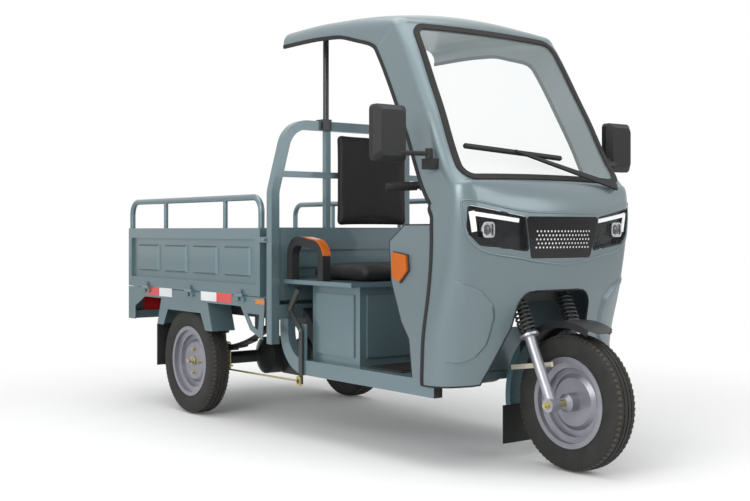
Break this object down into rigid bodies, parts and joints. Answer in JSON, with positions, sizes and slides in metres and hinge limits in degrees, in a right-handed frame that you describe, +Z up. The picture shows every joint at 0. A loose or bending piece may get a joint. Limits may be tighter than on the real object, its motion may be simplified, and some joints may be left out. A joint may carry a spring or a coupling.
{
  "type": "cargo tricycle",
  "caption": "Open-cab cargo tricycle with a moulded cowl and roof, leaned front fork, driver's seat and a drop-side load bed over a driven rear axle.",
  "frame": {"origin": "on the ground under the middle of the tricycle's overall box", "axes": "+X forward, +Y to the driver's left, +Z up"},
  "size_m": [2.91, 1.374, 1.7819],
  "materials": {
    "body_paint": "satin metallic",
    "cab_paint": "gloss metallic",
    "chassis_black": "satin",
    "tyre": "matt",
    "rim_silver": "satin",
    "black_plastic": "matt",
    "gloss_black": "gloss",
    "rubber": "matt",
    "vinyl": "grained",
    "glass": "clear",
    "lens": "clear",
    "amber": "gloss",
    "red_lens": "gloss",
    "zinc": "yellow zinc",
    "fork_silver": "cast",
    "steel": "plain",
    "spring_black": "gloss",
    "battery": "matt"
  },
  "bodies": {
    "body": {"leaf_springs": "chassis_black", "rear_shock_bodies": "chassis_black", "chassis_frame": "chassis_black", "steering_bearings": "steel", "cab_side_rails": "body_paint", "floor_pan": "body_paint", "seat_box": "body_paint", "battery_pack": "battery", "motor_controller": "black_plastic", "headboard_frame": "body_paint", "backrest_pad": "vinyl", "armrests": "black_plastic", "cab_shell": "cab_paint", "windshield": "glass", "cab_rubber_trim": "rubber", "headlight_housings": "gloss_black", "headlight_lenses": "lens", "grille_panel": "gloss_black", "roof_struts": "chassis_black", "leg_shield": "cab_paint", "amber_lenses": "amber", "cargo_bed": "body_paint", "rear_fenders": "body_paint", "rear_mud_flaps": "rubber", "tail_lights": "red_lens", "mirror_clamps": "black_plastic"},
    "rear_axle": {"rear_axle_housing": "chassis_black", "drive_motor": "chassis_black", "spring_u_bolts": "zinc", "rear_shock_rods": "steel"},
    "rear_wheel_right": {"rear_tyre_right": "tyre", "rear_rim_right": "rim_silver", "rear_hub_right": "steel", "rear_wheel_nuts_right": "zinc"},
    "rear_wheel_left": {"rear_tyre_left": "tyre", "rear_rim_left": "rim_silver", "rear_hub_left": "steel", "rear_wheel_nuts_left": "zinc"},
    "steering": {"steering_stem": "chassis_black", "handlebar": "chassis_black", "fork_springs": "spring_black"},
    "fork": {"fork_sliders": "fork_silver", "front_axle": "zinc", "front_mudguard": "black_plastic", "front_mud_flap": "rubber"},
    "front_wheel": {"front_tyre": "tyre", "front_rim": "rim_silver"},
    "throttle": {"throttle_grip": "rubber"},
    "brake_lever": {"front_brake_lever": "black_plastic"},
    "gate_right": {"side_gate_right": "body_paint"},
    "gate_left": {"side_gate_left": "body_paint"},
    "gate_tail": {"tailgate": "body_paint"},
    "seat": {"seat_cushion": "vinyl"},
    "pedal": {"brake_pedal": "chassis_black"},
    "hand_brake": {"hand_brake_lever": "chassis_black"},
    "pull_rod": {"brake_rod": "zinc"},
    "wiper_arm": {"wiper": "black_plastic"},
    "mirror_r": {"mirror_right": "black_plastic"},
    "mirror_l": {"mirror_left": "black_plastic"}
  },
  "joints": [
    {"name": "rear_suspension", "type": "slide", "parent": "body", "child": "rear_axle", "axis": [0, 0, 1], "range_m": [0, 0.034], "stiffness_N_per_m": 60000, "springref_m": -0.14, "deforming": ["leaf_springs"]},
    {"name": "rear_wheel_right_spin", "type": "hinge", "parent": "rear_axle", "child": "rear_wheel_right", "pos_m": [-0.821, -0.461, 0.25], "axis": [0, 1, 0], "continuous": true},
    {"name": "rear_wheel_left_spin", "type": "hinge", "parent": "rear_axle", "child": "rear_wheel_left", "pos_m": [-0.821, 0.461, 0.25], "axis": [0, 1, 0], "continuous": true},
    {"name": "steer", "type": "hinge", "parent": "body", "child": "steering", "pos_m": [0.9409, 0, 0.71936], "axis": [-0.4226, 0, 0.9063], "range_deg": [-30, 30]},
    {"name": "fork_slide", "type": "slide", "parent": "steering", "child": "fork", "axis": [-0.4226, 0, 0.9063], "range_m": [0, 0.045], "stiffness_N_per_m": 30000, "springref_m": -0.12, "deforming": ["fork_springs"]},
    {"name": "front_wheel_spin", "type": "hinge", "parent": "fork", "child": "front_wheel", "pos_m": [1.205, 0, 0.25], "axis": [0, 1, 0], "continuous": true},
    {"name": "throttle_twist", "type": "hinge", "parent": "steering", "child": "throttle", "pos_m": [0.58684, -0.392, 1.04632], "axis": [0.5731, 0.8187, 0.0351], "range_deg": [0, 60], "stiffness_Nm_per_rad": 0.3},
    {"name": "brake_lever_pull", "type": "hinge", "parent": "steering", "child": "brake_lever", "pos_m": [0.71024, -0.30638, 1.05127], "axis": [0.0201, 0.0288, -0.9994], "range_deg": [0, 10], "stiffness_Nm_per_rad": 3, "springref_deg": -2.86},
    {"name": "gate_right_drop", "type": "hinge", "parent": "body", "child": "gate_right", "pos_m": [-0.787, -0.534, 0.591], "axis": [1, 0, 0], "range_deg": [0, 170]},
    {"name": "gate_left_drop", "type": "hinge", "parent": "body", "child": "gate_left", "pos_m": [-0.787, 0.534, 0.591], "axis": [-1, 0, 0], "range_deg": [0, 170]},
    {"name": "tailgate_drop", "type": "hinge", "parent": "body", "child": "gate_tail", "pos_m": [-1.447, 0, 0.591], "axis": [0, -1, 0], "range_deg": [0, 170]},
    {"name": "seat_lift", "type": "hinge", "parent": "body", "child": "seat", "pos_m": [0.412, 0, 0.67], "axis": [0, 1, 0], "range_deg": [0, 75]},
    {"name": "pedal_press", "type": "hinge", "parent": "body", "child": "pedal", "pos_m": [0.7, -0.17, 0.351], "axis": [0, 1, 0], "range_deg": [0, 12], "stiffness_Nm_per_rad": 12, "springref_deg": -5.73},
    {"name": "hand_brake_pull", "type": "hinge", "parent": "body", "child": "hand_brake", "pos_m": [0.08, -0.456, 0.458], "axis": [0, -1, 0], "range_deg": [0, 10]},
    {"name": "brake_rod_pull", "type": "slide", "parent": "body", "child": "pull_rod", "axis": [1, 0, 0], "range_m": [0, 0.038]},
    {"name": "wiper_sweep", "type": "hinge", "parent": "body", "child": "wiper_arm", "pos_m": [1.09576, 0.322, 1.04104], "axis": [-0.8607, 0, -0.509], "range_deg": [0, 32]},
    {"name": "mirror_right_fold", "type": "hinge", "parent": "body", "child": "mirror_r", "pos_m": [0.94, -0.476, 1.14], "axis": [0, 0, 1], "range_deg": [-40, 15]},
    {"name": "mirror_left_fold", "type": "hinge", "parent": "body", "child": "mirror_l", "pos_m": [0.94, 0.476, 1.14], "axis": [0, 0, 1], "range_deg": [-15, 40]}
  ],
  "couplings": [
    {"joint": "brake_rod_pull", "follows": "hand_brake_pull", "m_per_rad": 0.213}
  ]
}
